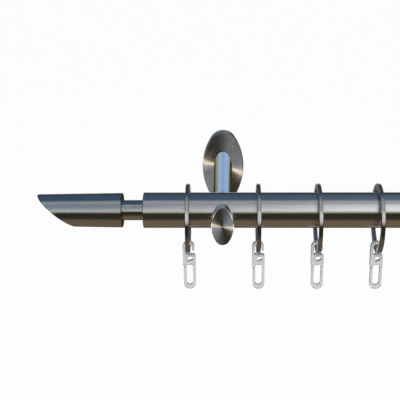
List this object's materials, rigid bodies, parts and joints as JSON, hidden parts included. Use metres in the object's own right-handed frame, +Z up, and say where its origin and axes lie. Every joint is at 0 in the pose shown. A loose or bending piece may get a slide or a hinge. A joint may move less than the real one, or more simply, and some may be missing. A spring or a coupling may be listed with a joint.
{
  "type": "curtain rod",
  "caption": "Round metal curtain rod on two wall brackets with oval rosettes and end caps, slanted finials, and sliding rings that carry plastic curtain hooks.",
  "frame": {"origin": "on the wall, midway between the two brackets, level with the middle of their arms", "axes": "+X along the rod to the right as seen from the room, +Y into the wall, +Z up"},
  "size_m": [0.7192, 0.1098, 0.0694],
  "materials": {
    "tube_steel": "fine brushed, satin, along the tube",
    "arm_steel": "polished satin",
    "turned_steel": "fine turned rings on the face",
    "ring_steel": "polished satin",
    "plate_steel": "zinc plated",
    "screw_steel": "blackened",
    "plug_plastic": "moulded",
    "hook_plastic": "translucent, moulded"
  },
  "bodies": {
    "rod_and_brackets": {"tube": "tube_steel", "arm_left": "arm_steel", "arm_right": "arm_steel", "rosette_left": "turned_steel", "rosette_right": "turned_steel", "wall_plate_left": "plate_steel", "wall_plate_right": "plate_steel", "end_cap_left": "turned_steel", "end_cap_right": "turned_steel", "finial_left": "tube_steel", "finial_right": "tube_steel", "tube_plug_left": "plug_plastic", "tube_plug_right": "plug_plastic", "finial_studs": "plate_steel", "grub_screws": "screw_steel"},
    "ring_1": {"ring_1": "ring_steel"},
    "curtain_hook_1": {"curtain_hook_1": "hook_plastic"},
    "ring_2": {"ring_2": "ring_steel"},
    "curtain_hook_2": {"curtain_hook_2": "hook_plastic"},
    "ring_3": {"ring_3": "ring_steel"},
    "curtain_hook_3": {"curtain_hook_3": "hook_plastic"},
    "ring_4": {"ring_4": "ring_steel"},
    "curtain_hook_4": {"curtain_hook_4": "hook_plastic"},
    "ring_5": {"ring_5": "ring_steel"},
    "curtain_hook_5": {"curtain_hook_5": "hook_plastic"},
    "ring_6": {"ring_6": "ring_steel"},
    "curtain_hook_6": {"curtain_hook_6": "hook_plastic"},
    "ring_7": {"ring_7": "ring_steel"},
    "curtain_hook_7": {"curtain_hook_7": "hook_plastic"},
    "ring_8": {"ring_8": "ring_steel"},
    "curtain_hook_8": {"curtain_hook_8": "hook_plastic"}
  },
  "joints": [
    {"name": "ring_1_slide", "type": "slide", "parent": "rod_and_brackets", "child": "ring_1", "axis": [1, 0, 0], "range_m": [-0.0234, 0.0116]},
    {"name": "hook_1_swing", "type": "hinge", "parent": "ring_1", "child": "curtain_hook_1", "pos_m": [-0.2751, -0.09, -0.01965], "axis": [0, 1, 0], "range_deg": [-25, 25]},
    {"name": "ring_2_slide", "type": "slide", "parent": "rod_and_brackets", "child": "ring_2", "axis": [1, 0, 0], "range_m": [-0.0122, 0.026]},
    {"name": "hook_2_swing", "type": "hinge", "parent": "ring_2", "child": "curtain_hook_2", "pos_m": [-0.2355, -0.09, -0.01965], "axis": [0, 1, 0], "range_deg": [-25, 25]},
    {"name": "ring_3_slide", "type": "slide", "parent": "rod_and_brackets", "child": "ring_3", "axis": [1, 0, 0], "range_m": [-0.026, 0.026]},
    {"name": "hook_3_swing", "type": "hinge", "parent": "ring_3", "child": "curtain_hook_3", "pos_m": [-0.2019, -0.09, -0.01965], "axis": [0, 1, 0], "range_deg": [-25, 25]},
    {"name": "ring_4_slide", "type": "slide", "parent": "rod_and_brackets", "child": "ring_4", "axis": [1, 0, 0], "range_m": [-0.026, 0.16]},
    {"name": "hook_4_swing", "type": "hinge", "parent": "ring_4", "child": "curtain_hook_4", "pos_m": [-0.1683, -0.09, -0.01965], "axis": [0, 1, 0], "range_deg": [-25, 25]},
    {"name": "ring_5_slide", "type": "slide", "parent": "rod_and_brackets", "child": "ring_5", "axis": [1, 0, 0], "range_m": [-0.16, 0.026]},
    {"name": "hook_5_swing", "type": "hinge", "parent": "ring_5", "child": "curtain_hook_5", "pos_m": [0.1683, -0.09, -0.01965], "axis": [0, 1, 0], "range_deg": [-25, 25]},
    {"name": "ring_6_slide", "type": "slide", "parent": "rod_and_brackets", "child": "ring_6", "axis": [1, 0, 0], "range_m": [-0.026, 0.026]},
    {"name": "hook_6_swing", "type": "hinge", "parent": "ring_6", "child": "curtain_hook_6", "pos_m": [0.2019, -0.09, -0.01965], "axis": [0, 1, 0], "range_deg": [-25, 25]},
    {"name": "ring_7_slide", "type": "slide", "parent": "rod_and_brackets", "child": "ring_7", "axis": [1, 0, 0], "range_m": [-0.026, 0.0122]},
    {"name": "hook_7_swing", "type": "hinge", "parent": "ring_7", "child": "curtain_hook_7", "pos_m": [0.2355, -0.09, -0.01965], "axis": [0, 1, 0], "range_deg": [-25, 25]},
    {"name": "ring_8_slide", "type": "slide", "parent": "rod_and_brackets", "child": "ring_8", "axis": [1, 0, 0], "range_m": [-0.0116, 0.0234]},
    {"name": "hook_8_swing", "type": "hinge", "parent": "ring_8", "child": "curtain_hook_8", "pos_m": [0.2751, -0.09, -0.01965], "axis": [0, 1, 0], "range_deg": [-25, 25]}
  ]
}
